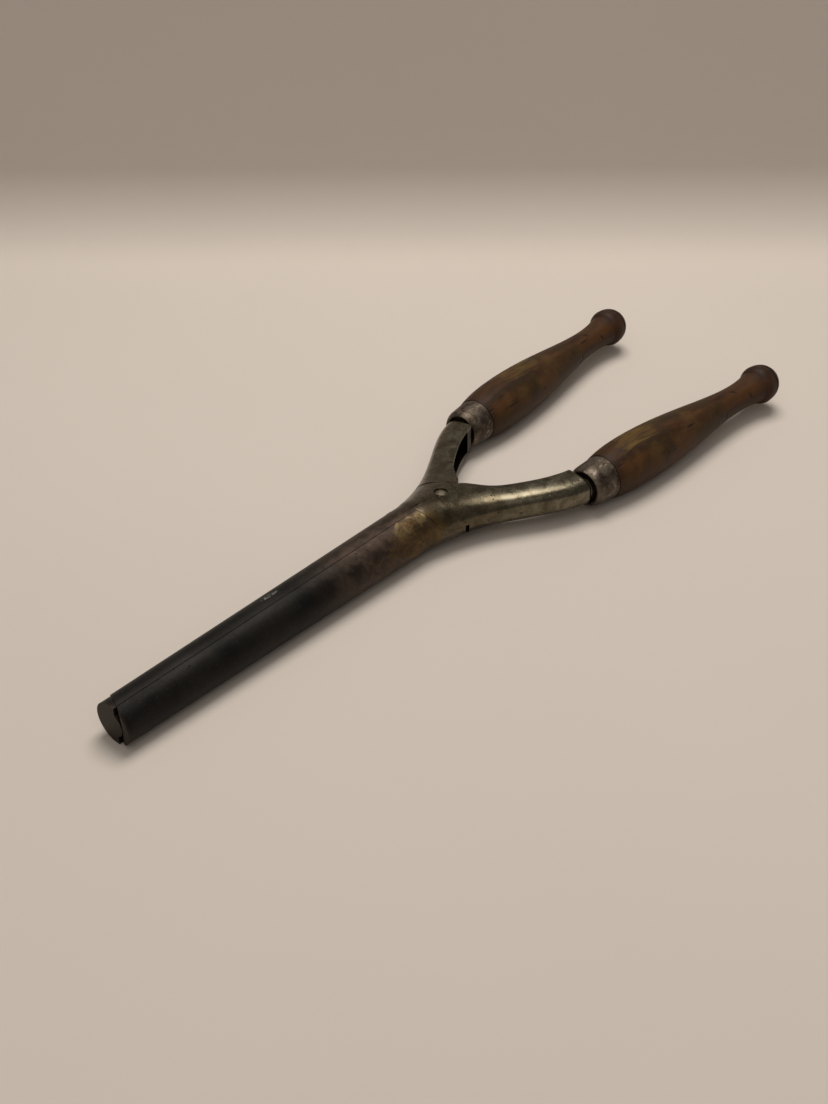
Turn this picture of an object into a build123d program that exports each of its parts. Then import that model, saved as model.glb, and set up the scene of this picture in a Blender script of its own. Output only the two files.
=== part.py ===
from build123d import *
from math import asin, atan2, copysign, cos, pi, radians, sin, tan
import os

# Hair curling tongs: a round rod jaw and a grooved shell jaw, each on a curved cast arm.
# The two arms are the same casting, one turned over, and they cross in a half-lap joint on
# one rivet. A steel tang joins each arm to a turned wooden handle with a steel ferrule.
# +X runs from the jaws' tip to the handles, +Y to the left handle, +Z up. The origin is
# under the middle of the tongs, on the surface that they lie on. Sizes are in millimetres.

# ---- driving dimensions ----
TIP_X = -149.65             # the jaws' tip, with the handles' ends as far the other way
SWELL_R = 9.95              # the handles' greatest radius, which the tongs rest on
MID_Z = SWELL_R             # height of the tongs' middle plane

PIVOT = 142.6               # distance of the hinge pin from the tip
OPENING = 6.0               # degrees that the jaws open
SEAM_GAP = 0.2              # gap between the two levers where their faces meet
LAP_GAP = 0.1               # gap between the two half-lap plates

TIP_R = 7.4                 # the closed jaws at the tip
ROOT_R = 9.0                # and where they meet the arms
JAW_LENGTH = 128.0
GROOVE_R = 4.3              # radius of the rod's core under the shell
CORE_GAP = 0.15
SEAM_Y = -1.85              # the shell jaw lies on this side of the seam
SOCKET = 12.0               # length of the jaws' sockets on the arms' necks
NECK_R = 6.1
NOSE_SLOPE = 0.42           # slanting end of the shell, in x per y
NOSE_SETBACK = 2.05
NOSE_STEP = 0.3             # the rod's nose is turned down this much in front of that slant

RIVET_R = 1.6
RIVET_HEAD_R = 2.1
RIVET_HEAD_H = 0.65
RIVET_CLEARANCE = 0.06
SPOT_FACE_R = 2.5
SPOT_FACE_Z = 7.25          # half thickness of the joint between its two spot faces

JAW_RIVET_R = 0.95
JAW_RIVET_X = JAW_LENGTH - 5.0
JAW_RIVET_ANGLES = (-45, 0, 45)
JAW_RIVET_FOOT = 4.2
JAW_RIVET_PROUD = 0.08

FERRULE_X, FERRULE_Y = 196.8, 29.75     # centre of the ferrule's back rim, from the tip
KNOB_X, KNOB_Y = 293.0, 36.96           # a point of the handle's axis at its knob
FERRULE_LENGTH = 10.4
FERRULE_R = 8.2
FERRULE_FRONT_R = 7.7
FERRULE_WALL = 0.9
FERRULE_MOUTH_R = 5.8
FERRULE_MOUTH_TAPER = 0.1
LIP_START = -7.6            # where the ferrule's front begins to turn in
TENON_LENGTH = 6.9
TENON_R = FERRULE_FRONT_R - FERRULE_WALL - 0.1
DENT_R = 1.3
DENT_DEPTH = 0.4
DENT_AT = -2.6
DENT_ANGLES = (40, 72)      # above the side that faces away from the other handle

HANDLE_START_R = 8.45
SWELL_AT = 18.5             # places along the handle are counted from the ferrule's back rim
WAIST_AT, WAIST_R = 52.0, 7.55
NECK_AT, HANDLE_NECK_R = 80.5, 5.3
KNOB_FRONT, FLARE_R = 90.8, 6.3
KNOB_AT, KNOB_R = 95.0, 7.6
KNOB_SHOULDER_AT, KNOB_SHOULDER_R = 92.2, 7.3
KNOB_END_R = 4.8
KNOB_LINE_AT = 97.2         # a fine line turned into the knob
KNOB_LINE_R = 7.35
KNOB_LINE_SIZE = 0.4
HANDLE_LENGTH = 101.2

TANG_R = 2.3
STUB_R = 1.5                # the tang's front end, riveted over inside the arm's hollow
PEEN_R = 1.9
PEEN_TOP_R = 1.15
PEEN_HEIGHT = 0.7
TANG_INNER_END = -15.8
COLLAR_FRONT, COLLAR_BACK = -11.0, -7.2
COLLAR_R = 4.1
COLLAR_CHAMFER = 0.6
COLLAR_TAPER = 1.2
BURR_R = 3.9
BURR_CHAMFER = 0.35
BURR_THICKNESS = 0.8

LAP_ANGLE = 39.7            # the lap joint's edge, from the tongs' length to its normal
LAP_OFFSET = 7.2            # and how far it passes from the pin
SWING_ROOM = 0.6            # degrees beyond the opening that the levers could swing
BEYOND = 60.0               # a length that clears the whole joint

# Plan of the left arm: its inner and its outer edge, from the end of the jaws to the tang.
INNER_EDGE = (
    (128.0, -0.4),          # inside the other half, so that the two make one solid
    (144.0, -1.0),
    (151.6, 0.0),
    (158.4, 7.6),
    (165.4, 13.4),
    (173.0, 18.0),
    (180.0, 21.2),
    (186.9, 23.0),
)
OUTER_EDGE = (
    (128.0, 9.0),
    (136.0, 10.9),
    (148.3, 15.2),
    (160.5, 21.7),
    (169.0, 26.9),
    (176.5, 30.9),
    (185.8, 33.9),
)
ARM_SECTIONS = 14
ARM_HALF_HEIGHT = 5.7
ROOT_SQUARENESS = 2.0       # of a round section
ARM_SQUARENESS = 3.0
TAPER_SHARE = 0.62          # share of the arm's length in which it takes its final height
ARM_END_ROUNDING = 1.8
# The hollow in the arm's inner side
HOLLOW_START, HOLLOW_END = 0.375, 0.935     # as shares of the arm's length
HOLLOW_SECTIONS = 9
HOLLOW_DEPTH = 0.76         # as a share of the arm's width
HOLLOW_FIRST_DEPTH = 0.4    # share of that depth at its front end
HOLLOW_RUN_IN = 0.08        # share of the arm's length in which it gets fully deep
FLANGE = 1.25               # thickness of the arm above and below it
HOLLOW_MOUTH = 3.0          # how far the cut that makes the hollow starts outside the arm

# ---- planes ----
MID = Plane((TIP_X, 0, MID_Z))          # the middle plane, with its origin at the tip


def across(x, y=0.0, heading=0.0):
    """A plane across the tongs, its X axis outwards to +Y and its Y axis up."""
    outwards = (-sin(radians(heading)), cos(radians(heading)), 0)
    forwards = (cos(radians(heading)), sin(radians(heading)), 0)
    return Plane(MID.from_local_coords((x, y, 0)), x_dir=outwards, z_dir=forwards)


def jaw_radius(x):
    return TIP_R + (ROOT_R - TIP_R) * x / JAW_LENGTH


def other_side(piece):
    """The same piece turned over about the tongs' long axis, for the other lever."""
    return piece.rotate(Axis((0, 0, MID_Z), (1, 0, 0)), 180)


def mirrored(piece):
    """The right-hand twin of a left-hand piece."""
    return piece.mirror(Plane.XZ)


def finish(piece, name):
    """Labels a finished piece and writes it to its own file."""
    piece.label = name
    export_step(piece, f"parts/{name}.step")


# ---- the arms' casting ----
def half_superellipse(width, half_height, squareness, steps=12):
    """Points of a rounded outline from the top of the flat side, round the outside, to its foot."""
    points = [(0, half_height)]
    for i in range(1, steps):
        angle = pi / 2 - pi * i / steps
        height = half_height * abs(sin(angle)) ** (2 / squareness)
        points.append((width * cos(angle) ** (2 / squareness), copysign(height, angle)))
    points.append((0, -half_height))
    return points


inner_edge = Spline(*INNER_EDGE)
outer_edge = Spline(*OUTER_EDGE)


def eased(share):
    """Rises smoothly from 0 to 1 as share does, and stays there."""
    share = min(max(share, 0), 1)
    return share * share * (3 - 2 * share)


def arm_section(share):
    """Plane, width, half height and squareness of the arm at a share of its length."""
    inner, outer = inner_edge @ share, outer_edge @ share
    outwards = (outer - inner).normalized()
    plane = Plane(MID.from_local_coords(inner), x_dir=outwards, z_dir=outwards.cross(Vector(0, 0, 1)))
    done = eased(share / TAPER_SHARE)
    half_height = ROOT_R + (ARM_HALF_HEIGHT - ROOT_R) * done
    squareness = ROOT_SQUARENESS + (ARM_SQUARENESS - ROOT_SQUARENESS) * done
    return plane, (outer - inner).length, half_height, squareness


with BuildPart() as half_blank:
    for i in range(ARM_SECTIONS):
        plane, width, half_height, squareness = arm_section(i / (ARM_SECTIONS - 1))
        outline = half_superellipse(width, half_height, squareness)
        with BuildSketch(plane):
            with BuildLine():
                Spline(*outline, tangents=[(1, 0), (-1, 0)])
                Line(outline[-1], outline[0])
            make_face()
    loft()
    arm_end = half_blank.faces().sort_by(Axis.X)[-1]
    fillet(arm_end.edges().filter_by(GeomType.LINE, reverse=True), ARM_END_ROUNDING)

with BuildPart() as hollow:
    for i in range(HOLLOW_SECTIONS):
        share = HOLLOW_START + (HOLLOW_END - HOLLOW_START) * i / (HOLLOW_SECTIONS - 1)
        plane, width, half_height, squareness = arm_section(share)
        run_in = eased((share - HOLLOW_START) / HOLLOW_RUN_IN)
        depth = width * HOLLOW_DEPTH * (HOLLOW_FIRST_DEPTH + (1 - HOLLOW_FIRST_DEPTH) * run_in)
        outline = half_superellipse(depth, half_height - FLANGE, squareness)
        with BuildSketch(plane):
            with BuildLine():
                Spline(*outline, tangents=[(1, 0), (-1, 0)])
                Polyline(
                    outline[-1],
                    (-HOLLOW_MOUTH, FLANGE - half_height),
                    (-HOLLOW_MOUTH, half_height - FLANGE),
                    outline[0],
                )
            make_face()
    loft()

with BuildPart() as blank:
    add(half_blank.part)
    add(hollow.part, mode=Mode.SUBTRACT)
    add(mirrored(blank.part))


# ---- handle, ferrule and tang, made for the left side ----
handle_heading = atan2(KNOB_Y - FERRULE_Y, KNOB_X - FERRULE_X)
backwards = Vector(cos(handle_heading), sin(handle_heading), 0)
sideways = Vector(-sin(handle_heading), cos(handle_heading), 0)     # away from the other handle
handle_axis = Axis(MID.from_local_coords((FERRULE_X, FERRULE_Y, 0)), backwards)
# A lengthwise plane of the handle: its X axis runs back from the ferrule's rim, its Y axis up.
HANDLE = Plane(handle_axis.position, x_dir=backwards, z_dir=-sideways)

with BuildPart() as left_tang:
    with BuildSketch(HANDLE):
        with BuildLine():
            Polyline(
                (TANG_INNER_END, 0),
                (TANG_INNER_END, PEEN_TOP_R),
                (TANG_INNER_END + PEEN_HEIGHT, PEEN_R),
                (TANG_INNER_END + PEEN_HEIGHT, STUB_R),
                (COLLAR_FRONT, STUB_R),
                (COLLAR_FRONT, COLLAR_R - COLLAR_CHAMFER),
                (COLLAR_FRONT + COLLAR_CHAMFER, COLLAR_R),
                (COLLAR_BACK - COLLAR_TAPER, COLLAR_R),
                (COLLAR_BACK, TANG_R),
                (HANDLE_LENGTH + BURR_THICKNESS, TANG_R),
                (HANDLE_LENGTH + BURR_THICKNESS, PEEN_R),
                (HANDLE_LENGTH + BURR_THICKNESS + PEEN_HEIGHT, PEEN_TOP_R),
                (HANDLE_LENGTH + BURR_THICKNESS + PEEN_HEIGHT, 0),
                close=True,
            )
        make_face()
    revolve(axis=handle_axis)

with BuildPart() as left_ferrule:
    with BuildSketch(HANDLE):
        with BuildLine():
            TangentArc(
                (LIP_START, FERRULE_FRONT_R),
                (-FERRULE_LENGTH, FERRULE_MOUTH_R + FERRULE_WALL),
                tangent=(LIP_START, FERRULE_FRONT_R - FERRULE_R),
            )
            # the lip, rolled over into the mouth
            ThreePointArc(
                (-FERRULE_LENGTH, FERRULE_MOUTH_R + FERRULE_WALL),
                (-FERRULE_LENGTH + FERRULE_WALL / 5, FERRULE_MOUTH_R + FERRULE_WALL / 4),
                (-FERRULE_LENGTH + FERRULE_WALL, FERRULE_MOUTH_R),
            )
            Polyline(
                (-FERRULE_LENGTH + FERRULE_WALL, FERRULE_MOUTH_R),
                (-FERRULE_LENGTH + 2 * FERRULE_WALL, FERRULE_MOUTH_R + FERRULE_MOUTH_TAPER),
                (LIP_START, FERRULE_FRONT_R - FERRULE_WALL),
                (0, FERRULE_R - FERRULE_WALL),
                (0, FERRULE_R),
                (LIP_START, FERRULE_FRONT_R),
            )
        make_face()
    revolve(axis=handle_axis)
    # punch marks that hold the ferrule on the wood
    for elevation in DENT_ANGLES:
        angle = radians(elevation)
        reach = FERRULE_R + DENT_R - DENT_DEPTH
        outwards = sideways * cos(angle) + Vector(0, 0, 1) * sin(angle)
        with Locations(HANDLE.from_local_coords((DENT_AT, 0, 0)) + outwards * reach):
            Sphere(DENT_R, mode=Mode.SUBTRACT)

with BuildPart() as left_handle:
    with BuildSketch(HANDLE):
        with BuildLine():
            Polyline(
                (0, HANDLE_START_R),
                (0, TENON_R),
                (-TENON_LENGTH, TENON_R),
                (-TENON_LENGTH, TANG_R),
                (HANDLE_LENGTH, TANG_R),
                (HANDLE_LENGTH, KNOB_END_R),
            )
            Spline(
                (0, HANDLE_START_R),
                (SWELL_AT, SWELL_R),
                (WAIST_AT, WAIST_R),
                (NECK_AT, HANDLE_NECK_R),
                (KNOB_FRONT, FLARE_R),
                tangents=[(1, 0.22), (1, 0.16)],
            )
            ThreePointArc((KNOB_FRONT, FLARE_R), (KNOB_SHOULDER_AT, KNOB_SHOULDER_R), (KNOB_AT, KNOB_R))
            TangentArc((KNOB_AT, KNOB_R), (HANDLE_LENGTH, KNOB_END_R), tangent=(1, 0))
        make_face()
        with Locations((KNOB_LINE_AT, KNOB_LINE_R)):
            Circle(KNOB_LINE_SIZE, mode=Mode.SUBTRACT)
    revolve(axis=handle_axis)

with BuildPart() as left_burr:
    with BuildSketch(HANDLE):
        with BuildLine():
            Polyline(
                (HANDLE_LENGTH, TANG_R),
                (HANDLE_LENGTH, BURR_R),
                (HANDLE_LENGTH + BURR_THICKNESS - BURR_CHAMFER, BURR_R),
                (HANDLE_LENGTH + BURR_THICKNESS, BURR_R - BURR_CHAMFER),
                (HANDLE_LENGTH + BURR_THICKNESS, TANG_R),
                close=True,
            )
        make_face()
    revolve(axis=handle_axis)


# ---- flush rivets in the sockets of the jaws, made for the shell's side ----
def jaw_rivets(length_beyond):
    """Radial pins from inside the neck out to a given height above the jaw's surface."""
    with BuildPart() as pins:
        for angle in JAW_RIVET_ANGLES:
            outwards = Vector(0, -cos(radians(angle)), sin(radians(angle)))
            foot = MID.from_local_coords((JAW_RIVET_X, 0, 0)) + outwards * JAW_RIVET_FOOT
            with BuildSketch(Plane(foot, z_dir=outwards)):
                Circle(JAW_RIVET_R)
            extrude(amount=jaw_radius(JAW_RIVET_X) + length_beyond - JAW_RIVET_FOOT)
    return pins.part


shell_rivets = jaw_rivets(length_beyond=JAW_RIVET_PROUD)
rod_rivets = other_side(shell_rivets)


# ---- the two arms ----
def lap_area(offset, relieved):
    """
    Corners of the area of the joint, on the +Y side, that the left arm has to itself on the
    upper level. Its edge passes the pin at a distance of offset and is in line with the right
    arm's inner side. Where the arm would turn into its neighbour, the edge is set back.
    """
    pin = Vector(PIVOT, 0)
    normal = Vector(1, 0).rotate(Axis.Z, LAP_ANGLE)
    along = Vector(0, 1).rotate(Axis.Z, LAP_ANGLE)
    crotch = pin + Vector(offset / cos(radians(LAP_ANGLE)), 0)
    swing = OPENING + SWING_ROOM if relieved else 0
    bend = pin + normal * offset - along * offset * tan(radians(swing / 2))
    outer_end = bend + along.rotate(Axis.Z, -swing) * BEYOND
    corners = [crotch, bend, outer_end, crotch + Vector(BEYOND, BEYOND), crotch + Vector(BEYOND, 0)]
    return [(corner.X, corner.Y) for corner in corners]


def tail_area(radius):
    """The area between the seam and the arm's outer side that lies outside a circle round the pin."""
    with BuildSketch(mode=Mode.PRIVATE) as area:
        with Locations((PIVOT, SEAM_GAP / 2)):
            Rectangle(2 * SOCKET + radius, 2 * ROOT_R, align=(Align.MAX, Align.MIN))
        with Locations((PIVOT, 0)):
            Circle(radius, mode=Mode.SUBTRACT)
    return area.sketch


with BuildPart() as casting:
    add(blank.part)
    # the left arm's place on the upper level
    with BuildSketch(MID.offset(-LAP_GAP / 2)):
        with BuildLine():
            Polyline(*lap_area(LAP_OFFSET - SEAM_GAP / 2, relieved=False), close=True)
        make_face()
    extrude(amount=2 * ROOT_R, mode=Mode.SUBTRACT)
    # on the lower level, all but this arm's own area and the tail behind the rod's end
    with BuildSketch(MID.offset(LAP_GAP / 2)):
        with Locations((PIVOT, 0)):
            Rectangle(4 * PIVOT, 2 * PIVOT)
        with BuildLine():
            Polyline(*[(x, -y) for x, y in lap_area(LAP_OFFSET + SEAM_GAP / 2, relieved=True)], close=True)
        make_face(mode=Mode.SUBTRACT)
        add(tail_area(PIVOT - JAW_LENGTH), mode=Mode.SUBTRACT)
    extrude(amount=-2 * ROOT_R, mode=Mode.SUBTRACT)
    # on the upper level, the place of the other arm's tail, which swings round the pin
    with BuildSketch(MID.offset(-LAP_GAP / 2)):
        add(tail_area(PIVOT - JAW_LENGTH - SEAM_GAP).mirror(Plane.XZ))
    extrude(amount=2 * ROOT_R, mode=Mode.SUBTRACT)
    # neck that carries the rod
    with BuildSketch(across(JAW_LENGTH - SOCKET)):
        Circle(NECK_R)
        with Locations((-NECK_R + SEAM_GAP / 2, 0)):
            Rectangle(2 * NECK_R, 2 * NECK_R, mode=Mode.SUBTRACT)
    extrude(amount=SOCKET)
    add(rod_rivets, mode=Mode.SUBTRACT)
    add(mirrored(left_tang.part), mode=Mode.SUBTRACT)

# The left arm is the same casting turned over. Each gets its own pin hole and spot face.
with BuildPart() as right_arm:
    add(casting.part)
    with BuildSketch(MID):
        with Locations((PIVOT, 0)):
            Circle(RIVET_R)
    extrude(amount=2 * ROOT_R, both=True, mode=Mode.SUBTRACT)
    with BuildSketch(MID.offset(SPOT_FACE_Z)):
        with Locations((PIVOT, 0)):
            Circle(SPOT_FACE_R)
    extrude(amount=ROOT_R, mode=Mode.SUBTRACT)

with BuildPart() as left_arm:
    add(other_side(casting.part))
    with BuildSketch(MID):
        with Locations((PIVOT, 0)):
            Circle(RIVET_R + RIVET_CLEARANCE)
    extrude(amount=2 * ROOT_R, both=True, mode=Mode.SUBTRACT)
    with BuildSketch(MID.offset(-SPOT_FACE_Z)):
        with Locations((PIVOT, 0)):
            Circle(SPOT_FACE_R)
    extrude(amount=-ROOT_R, mode=Mode.SUBTRACT)

# ---- hinge rivet ----
dome_r = (RIVET_HEAD_R ** 2 + RIVET_HEAD_H ** 2) / (2 * RIVET_HEAD_H)
half_turn = asin(RIVET_HEAD_R / dome_r) / 2
dome_mid = (dome_r * sin(half_turn), RIVET_HEAD_H - dome_r * (1 - cos(half_turn)))
low_face = -SPOT_FACE_Z - RIVET_CLEARANCE

with BuildPart() as pivot_rivet:
    with BuildSketch(Plane(MID.from_local_coords((PIVOT, 0, 0)), x_dir=(1, 0, 0), z_dir=(0, -1, 0))):
        with BuildLine():
            ThreePointArc(
                (0, SPOT_FACE_Z + RIVET_HEAD_H),
                (dome_mid[0], SPOT_FACE_Z + dome_mid[1]),
                (RIVET_HEAD_R, SPOT_FACE_Z),
            )
            Polyline(
                (RIVET_HEAD_R, SPOT_FACE_Z),
                (RIVET_R, SPOT_FACE_Z),
                (RIVET_R, low_face),
                (RIVET_HEAD_R, low_face),
            )
            ThreePointArc(
                (RIVET_HEAD_R, low_face),
                (dome_mid[0], low_face - dome_mid[1]),
                (0, low_face - RIVET_HEAD_H),
            )
            Line((0, low_face - RIVET_HEAD_H), (0, SPOT_FACE_Z + RIVET_HEAD_H))
        make_face()
    revolve(axis=Axis(MID.from_local_coords((PIVOT, 0, 0)), (0, 0, 1)))

# ---- the jaws ----
jaw_axis = Axis(MID.origin, (1, 0, 0))

with BuildPart() as jaw_blank:
    with BuildSketch(Plane(MID.origin, x_dir=(1, 0, 0), z_dir=(0, -1, 0))):
        with BuildLine():
            Polyline((0, 0), (0, TIP_R), (JAW_LENGTH, ROOT_R), (JAW_LENGTH, 0), close=True)
        make_face()
    revolve(axis=jaw_axis)

socket_start = JAW_LENGTH - SOCKET


def slanted_end(reach):
    """Corners of the area in front of the shell's slanting end line, over a stretch of Y."""
    low, high = reach
    return [
        (NOSE_SETBACK + NOSE_SLOPE * low, low),
        (NOSE_SETBACK + NOSE_SLOPE * high, high),
        (-TIP_R, high),
        (-TIP_R, low),
    ]


with BuildPart() as nose_relief:
    with BuildSketch(MID):
        with BuildLine():
            Polyline(*slanted_end((SEAM_Y, 2 * TIP_R)), close=True)
        make_face()
    extrude(amount=2 * TIP_R, both=True)
    with BuildSketch(across(-TIP_R)):
        Circle(TIP_R - NOSE_STEP)
    extrude(amount=3 * TIP_R, mode=Mode.SUBTRACT)

with BuildPart() as curling_rod:
    add(jaw_blank.part)
    # the shell's place, round the core
    with BuildSketch(across(0)):
        with Locations((SEAM_Y + SEAM_GAP / 2 - ROOT_R, 0)):
            Rectangle(2 * ROOT_R, 3 * ROOT_R)
        Circle(GROOVE_R, mode=Mode.SUBTRACT)
    extrude(amount=socket_start, mode=Mode.SUBTRACT)
    # the socket, with straight sides where the shell's neck swings out of it
    with BuildSketch(across(socket_start)):
        with Locations((SEAM_Y + SEAM_GAP / 2 - ROOT_R, 0)):
            Rectangle(2 * ROOT_R, 3 * ROOT_R)
        Circle(NECK_R)
        with Locations((SEAM_Y / 2, 0)):
            Rectangle(-SEAM_Y, 2 * NECK_R)
    extrude(amount=SOCKET, mode=Mode.SUBTRACT)
    add(nose_relief.part, mode=Mode.SUBTRACT)
    add(rod_rivets, mode=Mode.SUBTRACT)

with BuildPart() as curling_shell:
    add(jaw_blank.part)
    with BuildSketch(across(0)):
        with Locations((SEAM_Y - SEAM_GAP / 2 + ROOT_R * 2, 0)):
            Rectangle(4 * ROOT_R, 3 * ROOT_R)
        Circle(GROOVE_R + CORE_GAP)
    extrude(amount=JAW_LENGTH, mode=Mode.SUBTRACT)
    with BuildSketch(across(socket_start)):
        Circle(NECK_R)
    extrude(amount=SOCKET, mode=Mode.SUBTRACT)
    with BuildSketch(MID):
        with BuildLine():
            Polyline(*slanted_end((-2 * TIP_R, TIP_R)), close=True)
        make_face()
    extrude(amount=2 * TIP_R, both=True, mode=Mode.SUBTRACT)
    add(shell_rivets, mode=Mode.SUBTRACT)

# ---- hand over every piece ----
os.makedirs("parts", exist_ok=True)
finish(curling_rod.part, "curling_rod")
finish(right_arm.part, "right_arm")
finish(rod_rivets, "rod_rivets")
finish(pivot_rivet.part, "pivot_rivet")
finish(curling_shell.part, "curling_shell")
finish(left_arm.part, "left_arm")
finish(shell_rivets, "shell_rivets")
for name, piece in (
    ("tang", left_tang.part),
    ("ferrule", left_ferrule.part),
    ("handle", left_handle.part),
    ("tang_burr", left_burr.part),
):
    finish(piece, f"left_{name}")
    finish(mirrored(piece), f"right_{name}")
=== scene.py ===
from math import cos, radians, sin

import bmesh
import bpy
from mathutils import Matrix, Vector


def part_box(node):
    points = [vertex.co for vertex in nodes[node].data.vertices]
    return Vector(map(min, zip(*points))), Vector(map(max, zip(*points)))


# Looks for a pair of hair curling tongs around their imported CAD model. Lengths are in metres,
# unless a comment says millimetres. +X runs from the jaws' tip to the handles, +Y to the left
# handle, +Z up.

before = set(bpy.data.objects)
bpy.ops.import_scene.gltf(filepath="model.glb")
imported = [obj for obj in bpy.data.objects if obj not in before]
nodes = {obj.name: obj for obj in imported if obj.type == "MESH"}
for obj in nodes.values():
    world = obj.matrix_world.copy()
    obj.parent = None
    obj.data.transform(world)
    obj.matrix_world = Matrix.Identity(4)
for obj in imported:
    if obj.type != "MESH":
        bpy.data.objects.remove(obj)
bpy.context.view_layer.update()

MM = 0.001
tip_low, tip_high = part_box("curling_rod")
swell_low, swell_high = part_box("left_handle")
TIP = Vector((tip_low.x, 0, (tip_low.z + tip_high.z) / 2))
TIP_R = 7.4 * MM                    # the closed jaws, at their tip
SWELL_R = (swell_high.z - swell_low.z) / 2
SWELL_X = swell_low.x + 26 * MM     # where the handles are thickest
FERRULE_LENGTH = 10.4 * MM

# ---- camera: from above and beside the jaws' tip, looking along the tongs ----
YAW, PITCH, ROLL = radians(42.69), radians(36.27), radians(-0.46)
LENS = 45.18
LEAN = radians(0.6)         # about how far the tongs lean, on their thin tip and thick handles
CAMERA_FROM_TIP = Vector((-156.15, -262.74, 275.53)) * MM

forward = Vector((cos(PITCH) * cos(YAW), cos(PITCH) * sin(YAW), -sin(PITCH)))
level_right = Vector((sin(YAW), -cos(YAW), 0))
level_up = level_right.cross(forward)
right = level_right * cos(ROLL) + level_up * sin(ROLL)
up = level_up * cos(ROLL) - level_right * sin(ROLL)
lean = Matrix.Rotation(LEAN, 3, "Y")

camera = bpy.data.objects.new("camera", bpy.data.cameras.new("camera"))
bpy.context.scene.collection.objects.link(camera)
camera.data.lens = LENS
camera.data.clip_start = 0.01
turn = lean @ Matrix((right, up, -forward)).transposed()
camera.matrix_world = Matrix.Translation(TIP + lean @ CAMERA_FROM_TIP) @ turn.to_4x4()
bpy.context.scene.camera = camera


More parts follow.
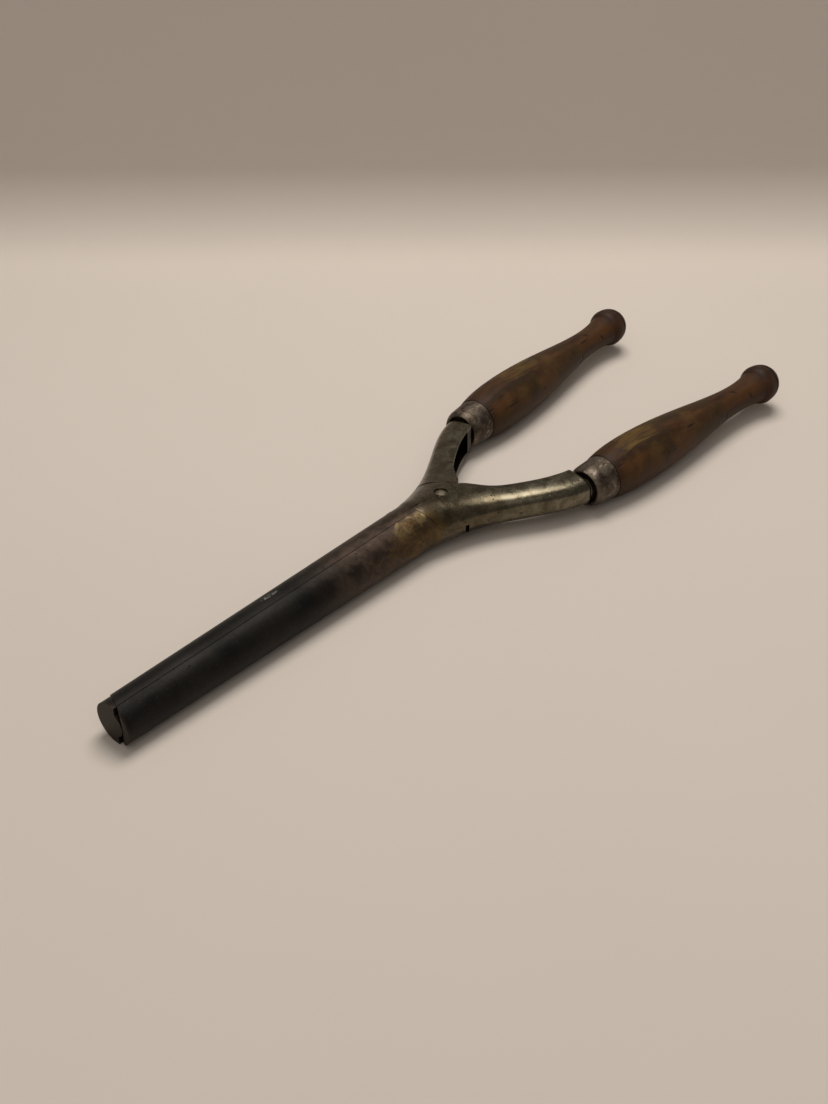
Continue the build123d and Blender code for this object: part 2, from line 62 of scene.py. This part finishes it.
# ---- shader building ----
class Nodes:
    """Builds one material's node tree. Most methods add nodes and return their output."""

    def __init__(self, name):
        self.material = bpy.data.materials.new(name)
        self.material.use_nodes = True
        self.tree = self.material.node_tree
        self.tree.nodes.clear()
        self.shader = self.tree.nodes.new("ShaderNodeBsdfPrincipled")
        output = self.tree.nodes.new("ShaderNodeOutputMaterial")
        self.tree.links.new(self.shader.outputs[0], output.inputs[0])
        self.object_point = self.tree.nodes.new("ShaderNodeTexCoord").outputs["Object"]

    def put(self, socket, value):
        """Links another node's output to the socket, or sets the socket to a fixed value."""
        if isinstance(value, bpy.types.NodeSocket):
            self.tree.links.new(value, socket)
        elif socket.type == "RGBA":
            socket.default_value = (*value, 1.0)
        else:
            socket.default_value = value

    def set(self, **values):
        """Fills the main shader's sockets, with _ for a space in their names."""
        for name, value in values.items():
            self.put(self.shader.inputs[name.replace("_", " ")], value)

    def placed(self, origin, heading=0.0, scale=(1, 1, 1)):
        """The shaded point, as seen from origin with heading about Z, and multiplied by scale."""
        turned = self.tree.nodes.new("ShaderNodeMapping")
        turned.vector_type = "TEXTURE"
        self.put(turned.inputs["Vector"], self.object_point)
        self.put(turned.inputs["Location"], tuple(origin))
        self.put(turned.inputs["Rotation"], (0, 0, heading))
        stretched = self.tree.nodes.new("ShaderNodeMapping")
        self.put(stretched.inputs["Vector"], turned.outputs[0])
        self.put(stretched.inputs["Scale"], tuple(scale))
        return stretched.outputs[0]

    def split(self, vector):
        """A vector's X, Y and Z."""
        node = self.tree.nodes.new("ShaderNodeSeparateXYZ")
        self.put(node.inputs[0], vector)
        return node.outputs

    def noise(self, scale, detail, roughness=0.55, distortion=0.0, point=None):
        """A cloudy random value, mostly near 0.5."""
        node = self.tree.nodes.new("ShaderNodeTexNoise")
        self.put(node.inputs["Vector"], point or self.object_point)
        self.put(node.inputs["Scale"], scale)
        self.put(node.inputs["Detail"], detail)
        self.put(node.inputs["Roughness"], roughness)
        self.put(node.inputs["Distortion"], distortion)
        return node.outputs["Fac"]

    def cells(self, scale, point=None):
        """Distance to the nearest of scattered points."""
        node = self.tree.nodes.new("ShaderNodeTexVoronoi")
        self.put(node.inputs["Vector"], point or self.object_point)
        self.put(node.inputs["Scale"], scale)
        return node.outputs["Distance"]

    def math(self, operation, a, b, c=0.0):
        node = self.tree.nodes.new("ShaderNodeMath")
        node.operation = operation
        for socket, value in zip(node.inputs, (a, b, c)):
            self.put(socket, value)
        return node.outputs[0]

    def times(self, a, b):
        return self.math("MULTIPLY", a, b)

    def scaled(self, value, factor, offset):
        """The value times factor, plus offset."""
        return self.math("MULTIPLY_ADD", value, factor, offset)

    def flipped(self, mask):
        return self.math("SUBTRACT", 1.0, mask)

    def fit(self, value, low, high):
        """0 where value is low, 1 where it is high, with a smooth step between them."""
        node = self.tree.nodes.new("ShaderNodeMapRange")
        node.interpolation_type = "SMOOTHSTEP"
        self.put(node.inputs["From Min"], low)
        self.put(node.inputs["From Max"], high)
        self.put(node.inputs["Value"], value)
        return node.outputs[0]

    def band(self, value, rise, fall):
        """1 between rise and fall. Each is the two ends of a smooth step, the lower one first."""
        return self.times(self.fit(value, *rise), self.fit(value, *reversed(fall)))

    def mix(self, amount, a, b, blend="MIX"):
        """Colour a, with colour b put on it by amount."""
        node = self.tree.nodes.new("ShaderNodeMix")
        node.data_type = "RGBA"
        node.blend_type = blend
        colours = [socket for socket in node.inputs if socket.type == "RGBA"]
        self.put(node.inputs[0], amount)
        self.put(colours[0], a)
        self.put(colours[1], b)
        return [socket for socket in node.outputs if socket.type == "RGBA"][0]

    def spot(self, centre, radii, ragged, scale):
        """1 inside an uneven patch round centre, 0 outside it. The radii are in millimetres."""
        near = self.placed(origin=centre, scale=[1 / (radius * MM) for radius in radii])
        length = self.tree.nodes.new("ShaderNodeVectorMath")
        length.operation = "LENGTH"
        self.put(length.inputs[0], near)
        edge = self.scaled(self.noise(scale, 5, 0.65), 2 * ragged, -ragged)
        return self.fit(self.math("ADD", length.outputs["Value"], edge), 1.15, 0.75)

    def bump(self, *layers):
        """Bumps on each other, each a height from 0 to 1 and its depth in metres."""
        normal = None
        for height, depth in layers:
            node = self.tree.nodes.new("ShaderNodeBump")
            self.put(node.inputs["Height"], height)
            self.put(node.inputs["Distance"], depth)
            self.put(node.inputs["Strength"], 1.0)
            if normal:
                self.put(node.inputs["Normal"], normal)
            normal = node.outputs[0]
        self.put(self.shader.inputs["Normal"], normal)


# ---- metals ----
# Where each finish starts to give way to the next and has done so, in millimetres from the tip.
BLACK_TO_BROWN = (70, 104)
BROWN_TO_OLIVE = (118, 142)
OLIVE_TO_NICKEL = (142, 168)
SCALE_TO_PLATING = (110, 138)
WAVER = 5.0                 # how uneven those borders are, in millimetres either way
END_FACE = (0.9, 0.3)       # dark on the tip's end face only

STEEL_SCALE = (0.008, 0.0072, 0.0065), (0.017, 0.0152, 0.0138)
SCALE_SPECKS = (0.027, 0.024, 0.022)
BROWNED_STEEL = (0.034, 0.023, 0.017), (0.078, 0.053, 0.037)
OLIVE_PLATING = (0.070, 0.056, 0.034), (0.128, 0.106, 0.068)
NICKEL_PLATING = (0.096, 0.082, 0.054), (0.185, 0.163, 0.117)
NICKEL_STAIN = (0.080, 0.062, 0.036)
RUST = (0.066, 0.038, 0.015), (0.140, 0.086, 0.032)
BRIGHT_RUST = (0.185, 0.134, 0.062)
# painted shade colour, for the dark patches on the arms' shaded sides
PAINTED_SHADE_METAL = (0.018, 0.013, 0.009)
RUBBED_METAL = (0.26, 0.25, 0.235)
TIP_END = (0.016, 0.011, 0.007), (0.036, 0.025, 0.016)
PIT = (0.022, 0.016, 0.010)

FERRULE_PLATING = (0.066, 0.050, 0.036), (0.138, 0.112, 0.085)
FERRULE_STAIN = (0.044, 0.029, 0.019)
BRIGHT_CHIP = (0.30, 0.255, 0.205)
FERRULE_PIT = (0.035, 0.025, 0.018)
BARE_STEEL = (0.075, 0.058, 0.038), (0.17, 0.142, 0.105)

# Places and radii of uneven patches, in millimetres from the tip's centre.
RUST_PATCH = ((122, -6.8, 3.0), (13, 6.0, 8.0))
BRIGHT_RUST_PATCH = ((122, -4.6, 7.4), (8, 2.6, 2.6))
SCUFF = ((64, 2.0, 7.8), (4.0, 0.9, 1.5))
# Painted shade: dark patches on the left arm's shaded inner side, at its end by the ferrule's
# mouth, and under the joint on the near side.
PAINTED_SHADE_PATCHES = (
    ((169, 17, -5.5), (24, 11, 3.6)),               # the left arm's inner side
    ((184.5, 22.5, -0.6), (4.5, 3.2, 5.2)),
    ((146, -13, -5.0), (9, 5, 3.8)),                # under the joint, on the near side
)


def patch_at(s, place, ragged, scale):
    """1 inside an uneven patch of the tongs, given by its centre and its radii."""
    centre, radii = place
    return s.spot(TIP + Vector(centre) * MM, radii, ragged, scale)


def tongs_metal(name):
    """Blackened steel at the tip, brown and rusty where the jaws end, then worn olive nickel."""
    s = Nodes(name)
    from_tip = s.scaled(s.split(s.object_point)[0], 1 / MM, -TIP.x / MM)
    distance = s.math("ADD", from_tip, s.scaled(s.noise(120, 3, 0.6), 2 * WAVER, -WAVER))
    cloud = s.noise(60, 5, 0.6)
    fine = s.noise(900, 6, 0.7)
    blotch = s.noise(240, 5, 0.65, 0.6)
    patch = s.noise(110, 6, 0.7, 0.4)
    pits = s.times(s.fit(s.cells(520), 0.22, 0.08), s.fit(s.noise(170, 3), 0.50, 0.62))

    black = s.mix(s.fit(cloud, 0.35, 0.7), *STEEL_SCALE)
    black = s.mix(s.fit(fine, 0.5, 0.8), black, SCALE_SPECKS)
    brown = s.mix(s.fit(blotch, 0.35, 0.65), *BROWNED_STEEL)
    olive = s.mix(s.fit(blotch, 0.3, 0.7), *OLIVE_PLATING)
    nickel = s.mix(s.fit(blotch, 0.3, 0.7), *NICKEL_PLATING)
    nickel = s.mix(s.fit(patch, 0.48, 0.66), nickel, NICKEL_STAIN)
    colour = s.mix(s.fit(distance, *BLACK_TO_BROWN), black, brown)
    colour = s.mix(s.fit(distance, *BROWN_TO_OLIVE), colour, olive)
    colour = s.mix(s.fit(distance, *OLIVE_TO_NICKEL), colour, nickel)

    # rust round the end of the jaws, in merging patches
    rust = patch_at(s, RUST_PATCH, 0.75, 200)
    rust_colour = s.mix(s.fit(patch, 0.36, 0.6), *RUST)
    colour = s.mix(s.times(rust, s.fit(fine, 0.28, 0.62)), colour, rust_colour)
    bright = patch_at(s, BRIGHT_RUST_PATCH, 0.9, 330)
    colour = s.mix(s.times(bright, s.fit(blotch, 0.42, 0.62)), colour, BRIGHT_RUST)
    # painted shade, darkening the shaded patches listed above
    for place in PAINTED_SHADE_PATCHES:
        colour = s.mix(s.times(patch_at(s, place, 0.35, 200), 0.8), colour, PAINTED_SHADE_METAL)
    # bare metal where the top of the jaws has been rubbed
    scuff = patch_at(s, SCUFF, 0.5, 900)
    colour = s.mix(s.times(scuff, s.fit(fine, 0.45, 0.6)), colour, RUBBED_METAL)
    end_face = s.mix(s.fit(blotch, 0.3, 0.7), *TIP_END)
    colour = s.mix(s.fit(from_tip, *END_FACE), colour, end_face)
    colour = s.mix(pits, colour, PIT)

    plated = s.fit(distance, *SCALE_TO_PLATING)
    roughness = s.scaled(plated, -0.26, 0.53)
    roughness = s.math("ADD", roughness, s.scaled(blotch, 0.20, -0.10))
    roughness = s.scaled(rust, 0.14, roughness)
    s.set(
        Base_Color=colour,
        Metallic=s.scaled(plated, 0.25, 0.70),
        Roughness=s.scaled(pits, 0.2, roughness),
        Specular_IOR_Level=0.3,
    )
    s.bump(
        (s.noise(38, 2, 0.4), 0.07 * MM),
        (blotch, 0.05 * MM),
        (fine, 0.018 * MM),
        (s.flipped(pits), 0.12 * MM),
    )
    return s.material


def ferrule_metal(name):
    """Dull plated steel, stained brown."""
    s = Nodes(name)
    blotch = s.noise(280, 5, 0.65, 0.5)
    fine = s.noise(1100, 5, 0.7)
    pits = s.fit(s.cells(650), 0.2, 0.05)
    colour = s.mix(s.fit(blotch, 0.35, 0.65), *FERRULE_PLATING)
    stain = s.fit(s.noise(170, 4, 0.7), 0.48, 0.66)
    colour = s.mix(stain, colour, FERRULE_STAIN)
    chips = s.fit(s.noise(520, 4, 0.6, 0.8), 0.60, 0.68)
    colour = s.mix(s.times(chips, 0.7), colour, BRIGHT_CHIP)
    s.set(
        Base_Color=s.mix(pits, colour, FERRULE_PIT),
        Metallic=0.9,
        Roughness=s.scaled(blotch, 0.25, 0.36),
    )
    s.bump((blotch, 0.08 * MM), (fine, 0.015 * MM), (s.flipped(pits), 0.08 * MM))
    return s.material


def bare_steel(name, dullness=0.3):
    """Unplated steel, browned with age."""
    s = Nodes(name)
    blotch = s.noise(400, 5, 0.65)
    colour = s.mix(s.fit(blotch, 0.35, 0.65), *BARE_STEEL)
    s.set(Base_Color=colour, Metallic=0.9, Roughness=s.scaled(blotch, 0.25, dullness))
    s.bump((blotch, 0.05 * MM), (s.noise(1300, 4, 0.7), 0.012 * MM))
    return s.material


# ---- wood ----
# Places along a handle, in millimetres from its ferrule's back rim.
NECK = ((56, 66), (84, 92))
# painted shade: a dark line in the groove round the knob
KNOB_GROOVE_SHADE_SPAN = ((96.2, 96.7), (97.7, 98.2))
# the wood darkens towards both ends: towards the knob this is painted shade, where the knob turns
# away from the key light
KNOB_SHADE_RAMP, DARK_FRONT = (84, 93), (3.5, 0.0)
WORN_RADII = (11.0, 6.0, 4.0)
GOUGE_ANGLE = radians(50)

DARK_WOOD, LIGHT_WOOD = (0.020, 0.0085, 0.0032), (0.062, 0.0265, 0.0090)
REDDISH_BAND = (0.080, 0.034, 0.0110)
WOOD_GRIME = (0.030, 0.0175, 0.0065)
THIN_VARNISH = (0.092, 0.052, 0.0145)
BARE_WOOD = (0.130, 0.080, 0.019)
PORE = (0.016, 0.008, 0.005)
# painted shade on the knob's back, also used as plain darker wood just behind the ferrule
DARK_END_AND_KNOB_SHADE = (0.030, 0.015, 0.009)
# painted shade colour for the knob's groove
GROOVE_SHADE = (0.008, 0.005, 0.004)
DENT = (0.018, 0.008, 0.005)
GOUGE = (0.014, 0.007, 0.005)


def gouges(s, start, heading, along):
    """Short slanting grooves across the neck of a handle, 1 inside them."""
    skewed = s.placed(start, heading + GOUGE_ANGLE, (1, 1 / 7, 1 / 3))
    lines = s.noise(300, 2, 0.4, 0.2, skewed)
    return s.times(s.fit(lines, 0.60, 0.68), s.band(along, *NECK))


def handle_line(side):
    """A handle's axis: its place at the ferrule's back rim and its direction."""
    ends = [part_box(f"{side}_{part}") for part in ("ferrule", "tang_burr")]
    front, back = [(low + high) / 2 for low, high in ends]
    direction = (back - front).normalized()
    return front + direction * FERRULE_LENGTH / 2, direction


def wood(name, side, worn_at):
    """
    Turned hardwood under old varnish, worn through to lighter wood in places, most of all at
    worn_at, a place along the handle.
    """
    start, direction = handle_line(side)
    heading = -Vector((1, 0)).angle_signed(direction.xy)
    s = Nodes(name)
    flat_point = s.placed(start, heading)
    grain_point = s.placed(start, heading, (1 / 9, 1, 1))
    pore_point = s.placed(start, heading, (1 / 26, 1, 1))
    along = s.times(s.split(flat_point)[0], 1 / MM)

    grain = s.noise(420, 6, 0.62, 0.7, grain_point)
    pores = s.noise(2400, 3, 0.6, 0.0, pore_point)
    bands = s.noise(130, 3, 0.5, 0.4, grain_point)
    grime = s.noise(55, 4, 0.6, 0.3, flat_point)
    colour = s.mix(s.fit(grain, 0.3, 0.7), DARK_WOOD, LIGHT_WOOD)
    colour = s.mix(s.fit(bands, 0.45, 0.7), colour, REDDISH_BAND)
    colour = s.mix(s.fit(grime, 0.50, 0.72), colour, WOOD_GRIME)
    # worn varnish, here and there, and in one larger place on top of the handle
    patches = s.fit(s.noise(75, 4, 0.6, 0.3, flat_point), 0.54, 0.70)
    colour = s.mix(s.times(patches, 0.45), colour, THIN_VARNISH)
    worn_top = start + direction * worn_at * MM + Vector((0, 0, SWELL_R))
    rubbed = s.spot(worn_top, WORN_RADII, 0.95, 130)
    colour = s.mix(s.times(rubbed, s.fit(grain, 0.34, 0.72)), colour, BARE_WOOD)
    colour = s.mix(s.times(s.fit(pores, 0.62, 0.74), 0.75), colour, PORE)
    # darker at both ends: painted shade over the knob, plain darker wood just behind the ferrule
    dark_end_and_knob_shade = s.math("MAXIMUM", s.fit(along, *KNOB_SHADE_RAMP), s.fit(along, *DARK_FRONT))
    colour = s.mix(s.times(dark_end_and_knob_shade, 0.7), colour, DARK_END_AND_KNOB_SHADE)
    # painted shade in the knob's groove
    colour = s.mix(s.times(s.band(along, *KNOB_GROOVE_SHADE_SPAN), 0.8), colour, GROOVE_SHADE)
    dents = s.fit(s.cells(380, grain_point), 0.20, 0.08)
    dents = s.times(dents, s.fit(s.noise(110, 2), 0.46, 0.56))
    colour = s.mix(dents, colour, DENT)
    grooves = gouges(s, start, heading, along)
    colour = s.mix(s.times(grooves, 0.8), colour, GOUGE)
    roughness = s.math("ADD", s.scaled(grain, 0.2, 0.42), s.times(patches, 0.12))
    s.set(Base_Color=colour, Roughness=roughness, Specular_IOR_Level=0.15)
    s.bump(
        (s.noise(60, 2, 0.4, 0.0, flat_point), 0.25 * MM),
        (grain, 0.06 * MM),
        (s.fit(pores, 0.74, 0.6), 0.05 * MM),
        (s.flipped(dents), 0.15 * MM),
        (s.flipped(grooves), 0.25 * MM),
    )
    return s.material


def paint(material, *names):
    """Gives the named pieces one material."""
    for name in names:
        mesh = nodes[name].data
        mesh.materials.clear()
        mesh.materials.append(material)


paint(tongs_metal("blackened_steel"), "curling_rod", "curling_shell", "rod_rivets", "shell_rivets")
paint(tongs_metal("worn_nickel"), "right_arm", "left_arm")
paint(bare_steel("rivet_steel", 0.5), "pivot_rivet")
paint(ferrule_metal("ferrule_nickel"), "left_ferrule", "right_ferrule")
paint(bare_steel("bare_steel"), "left_tang", "right_tang", "left_tang_burr", "right_tang_burr")
paint(wood("left_wood", "left", 30), "left_handle")
paint(wood("right_wood", "right", 17), "right_handle")

# ---- stage ----
# The tongs rest on their thin tip and their thick handles, so the floor isn't parallel to them.
FLOOR_SLOPE = (SWELL_R - TIP_R) / (SWELL_X - TIP.x)
FLOOR_BEHIND, FLOOR_HALF_WIDTH = 1.5, 2.0
COVE_START = 0.645          # ahead of the point under the camera
COVE_R, COVE_STEPS = 0.028, 12
WALL_HEIGHT = 0.15          # low, so that the key light passes over it
# the wall's colour is darker than the floor's: painted shade, where the light only grazes the wall
FLOOR_PAPER, SHADED_WALL_PAPER = (0.635, 0.575, 0.512), (0.60, 0.546, 0.494)
PAPER_MOTTLE = (0.985, 0.985, 0.985)
LAMP_COLOUR = (1.0, 0.950, 0.90)
ROOM_COLOUR, ROOM_STRENGTH = (1.0, 0.93, 0.86), 0.16


def paper():
    """Matt paper, painted a little darker where it turns up behind the tongs, as shade where the
    light only grazes it.
    """
    s = Nodes("backdrop_paper")
    height = s.split(s.object_point)[2]
    colour = s.mix(s.fit(height, 0.004, 0.05), FLOOR_PAPER, SHADED_WALL_PAPER)
    colour = s.mix(s.fit(s.noise(6, 2), 0.3, 0.7), colour, PAPER_MOTTLE, "MULTIPLY")
    s.set(Base_Color=colour, Roughness=0.9, Specular_IOR_Level=0.25)
    return s.material


def sweep():
    """A floor that curves up into a backdrop across the camera's view."""
    ahead = Vector((cos(YAW), sin(YAW), 0))
    side = Vector((-sin(YAW), cos(YAW), 0))
    foot = camera.matrix_world.translation
    outline = [(-FLOOR_BEHIND, 0.0), (COVE_START, 0.0)]
    for i in range(1, COVE_STEPS + 1):
        angle = radians(90) * i / COVE_STEPS
        outline.append((COVE_START + COVE_R * sin(angle), COVE_R * (1 - cos(angle))))
    outline.append((COVE_START + COVE_R, WALL_HEIGHT))
    mesh = bmesh.new()
    rows = []
    for distance, height in outline:
        row = []
        for across in (-FLOOR_HALF_WIDTH, FLOOR_HALF_WIDTH):
            point = foot + ahead * distance + side * across
            point.z = FLOOR_SLOPE * (SWELL_X - point.x) + height
            row.append(mesh.verts.new(point))
        rows.append(row)
    for near, far in zip(rows, rows[1:]):
        mesh.faces.new((near[0], near[1], far[1], far[0])).smooth = True
    data = bpy.data.meshes.new("sweep")
    mesh.to_mesh(data)
    mesh.free()
    data.materials.append(paper())
    backdrop = bpy.data.objects.new("sweep", data)
    bpy.context.scene.collection.objects.link(backdrop)


def area_light(name, place, target, size, power):
    """A round lamp that shines at target."""
    data = bpy.data.lights.new(name, "AREA")
    data.shape = "DISK"
    data.size = size
    data.energy = power
    data.color = LAMP_COLOUR
    light = bpy.data.objects.new(name, data)
    light.location = place
    light.rotation_euler = (Vector(target) - Vector(place)).to_track_quat("-Z", "Y").to_euler()
    bpy.context.scene.collection.objects.link(light)


sweep()
area_light("key", place=(0.22, 0.13, 0.95), target=(0.02, 0, 0), size=0.60, power=7.2)
area_light("fill", place=(-0.6, -0.5, 1.1), target=(0, 0, 0), size=1.4, power=4.0)

world = bpy.data.worlds.new("studio")
world.use_nodes = True
background = world.node_tree.nodes["Background"]
background.inputs["Color"].default_value = (*ROOM_COLOUR, 1.0)
background.inputs["Strength"].default_value = ROOM_STRENGTH
bpy.context.scene.world = world
bpy.context.scene.view_settings.view_transform = "Standard"
